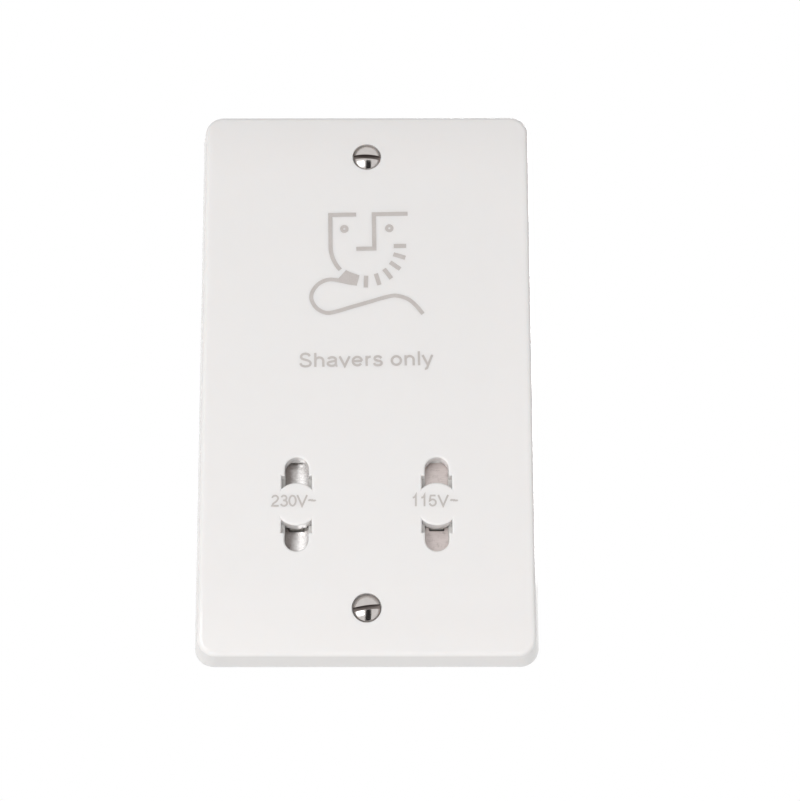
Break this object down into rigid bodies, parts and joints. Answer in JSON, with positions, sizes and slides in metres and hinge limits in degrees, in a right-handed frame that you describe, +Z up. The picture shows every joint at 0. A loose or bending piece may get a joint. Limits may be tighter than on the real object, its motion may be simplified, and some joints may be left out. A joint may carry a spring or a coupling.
{
  "type": "shaver socket",
  "caption": "Upright flush shaver outlet with a white plate, two shuttered dual-voltage sockets, slotted fixing screws and an isolating transformer in a stepped rear housing.",
  "frame": {"origin": "centre of the plate, on the plane of the wall it is fixed to", "axes": "+X to the right, +Z up, +Y into the wall; the front faces -Y"},
  "size_m": [0.086, 0.0486, 0.146],
  "materials": {
    "plate_plastic": "white moulded urea, softly glossy",
    "plate_print": "pale grey pad print, matt",
    "screw_nickel": "nickel plate",
    "housing_plastic": "moulded, matt, pale grey",
    "carrier_plastic": "moulded, matt, off-white",
    "yoke_nylon": "white nylon",
    "pad_metal": "pressed nickel silver",
    "spring_steel": "drawn wire",
    "zinc_steel": "zinc plate",
    "contact_brass": "rolled strip, nickel plated",
    "core_steel": "varnished laminations",
    "bobbin_nylon": "natural nylon",
    "winding_copper": "enamelled copper wire",
    "winding_tape": "polyester tape",
    "cutout_case": "moulded case",
    "block_plastic": "moulded block",
    "terminal_brass": "machined",
    "lead_brown": "insulated lead",
    "lead_blue": "insulated lead",
    "lead_red": "insulated lead",
    "lead_white": "insulated lead"
  },
  "bodies": {
    "base": {"front_plate": "plate_plastic", "plate_screw_upper": "screw_nickel", "plate_screw_lower": "screw_nickel", "rear_housing": "housing_plastic", "housing_screws": "zinc_steel", "carrier_screws": "zinc_steel", "core_screws": "zinc_steel", "clamp_screws": "zinc_steel", "block_screws": "zinc_steel", "socket_carrier": "carrier_plastic", "shutter_springs_230v": "spring_steel", "shutter_springs_115v": "spring_steel", "contact_230v_upper": "contact_brass", "contact_230v_lower": "contact_brass", "contact_115v_upper": "contact_brass", "contact_115v_lower": "contact_brass", "switch_leaf": "contact_brass", "switch_studs": "contact_brass", "switch_rivet": "contact_brass", "core_e_stack": "core_steel", "core_i_stack": "core_steel", "bobbin": "bobbin_nylon", "primary_winding": "winding_copper", "secondary_winding": "winding_copper", "winding_tape": "winding_tape", "common_link": "contact_brass", "thermal_cutout": "cutout_case", "terminal_block": "block_plastic", "terminal_live": "terminal_brass", "terminal_neutral": "terminal_brass", "terminal_earth": "terminal_brass", "lead_live": "lead_brown", "lead_switched": "lead_brown", "lead_neutral": "lead_blue", "lead_230v": "lead_red", "lead_115v": "lead_red", "lead_common": "lead_white", "lead_cutout": "lead_white"},
    "shutter_230v": {"shutter_yoke_230v": "yoke_nylon", "shutter_pads_230v": "pad_metal"},
    "shutter_115v": {"shutter_yoke_115v": "yoke_nylon", "shutter_pads_115v": "pad_metal"}
  },
  "joints": [
    {"name": "shutter_230v_slide", "type": "slide", "parent": "base", "child": "shutter_230v", "axis": [0, 1, 0], "range_m": [0, 0.0128], "stiffness_N_per_m": 250, "springref_m": -0.006, "deforming": ["shutter_springs_230v"]},
    {"name": "shutter_115v_slide", "type": "slide", "parent": "base", "child": "shutter_115v", "axis": [0, 1, 0], "range_m": [0, 0.0128], "stiffness_N_per_m": 250, "springref_m": -0.006, "deforming": ["shutter_springs_115v"]}
  ]
}
